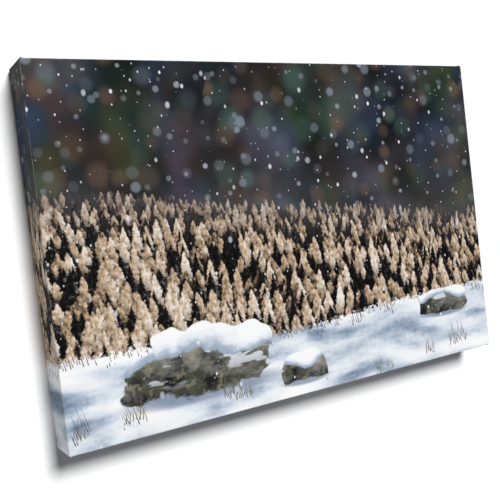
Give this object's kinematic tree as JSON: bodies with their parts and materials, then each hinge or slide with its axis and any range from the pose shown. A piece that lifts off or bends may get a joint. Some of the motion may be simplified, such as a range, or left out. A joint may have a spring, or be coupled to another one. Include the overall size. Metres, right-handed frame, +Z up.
{
  "type": "stretched canvas print",
  "caption": "Gallery-wrapped canvas print on a keyed pine stretcher frame, stapled behind, with a sawtooth hanger and wall bumpers.",
  "frame": {"origin": "on the wall's face, where a wall hook carries the middle notch of the hanger, 29 mm below the picture's top edge", "axes": "+X to the right and +Z up as the picture is looked at, +Y towards the wall, so the printed face looks along -Y"},
  "size_m": [0.5, 0.0404, 0.3268],
  "materials": {
    "print": "matt printed cotton canvas, white and unprinted behind",
    "pine": "planed bare pine",
    "wedge": "sawn hardwood",
    "steel": "galvanised wire",
    "brass": "plated strip",
    "felt": "dark felt pad"
  },
  "bodies": {
    "root": {"canvas": "print", "bar_top": "pine", "bar_bottom": "pine", "bar_left": "pine", "bar_right": "pine", "wedge_top_left_along_x": "wedge", "wedge_top_left_along_z": "wedge", "wedge_top_right_along_x": "wedge", "wedge_top_right_along_z": "wedge", "wedge_bottom_left_along_x": "wedge", "wedge_bottom_left_along_z": "wedge", "wedge_bottom_right_along_x": "wedge", "wedge_bottom_right_along_z": "wedge", "staple_top_1": "steel", "staple_top_2": "steel", "staple_top_3": "steel", "staple_top_4": "steel", "staple_top_5": "steel", "staple_top_6": "steel", "staple_top_7": "steel", "staple_bottom_1": "steel", "staple_bottom_2": "steel", "staple_bottom_3": "steel", "staple_bottom_4": "steel", "staple_bottom_5": "steel", "staple_bottom_6": "steel", "staple_bottom_7": "steel", "staple_left_1": "steel", "staple_left_2": "steel", "staple_left_3": "steel", "staple_left_4": "steel", "staple_right_1": "steel", "staple_right_2": "steel", "staple_right_3": "steel", "staple_right_4": "steel", "staple_top_left": "steel", "staple_top_right": "steel", "staple_bottom_left": "steel", "staple_bottom_right": "steel", "hanger": "brass", "nail_left": "steel", "nail_right": "steel", "bumper_top_left": "felt", "bumper_top_right": "felt", "bumper_bottom_left": "felt", "bumper_bottom_right": "felt"}
  },
  "joints": []
}
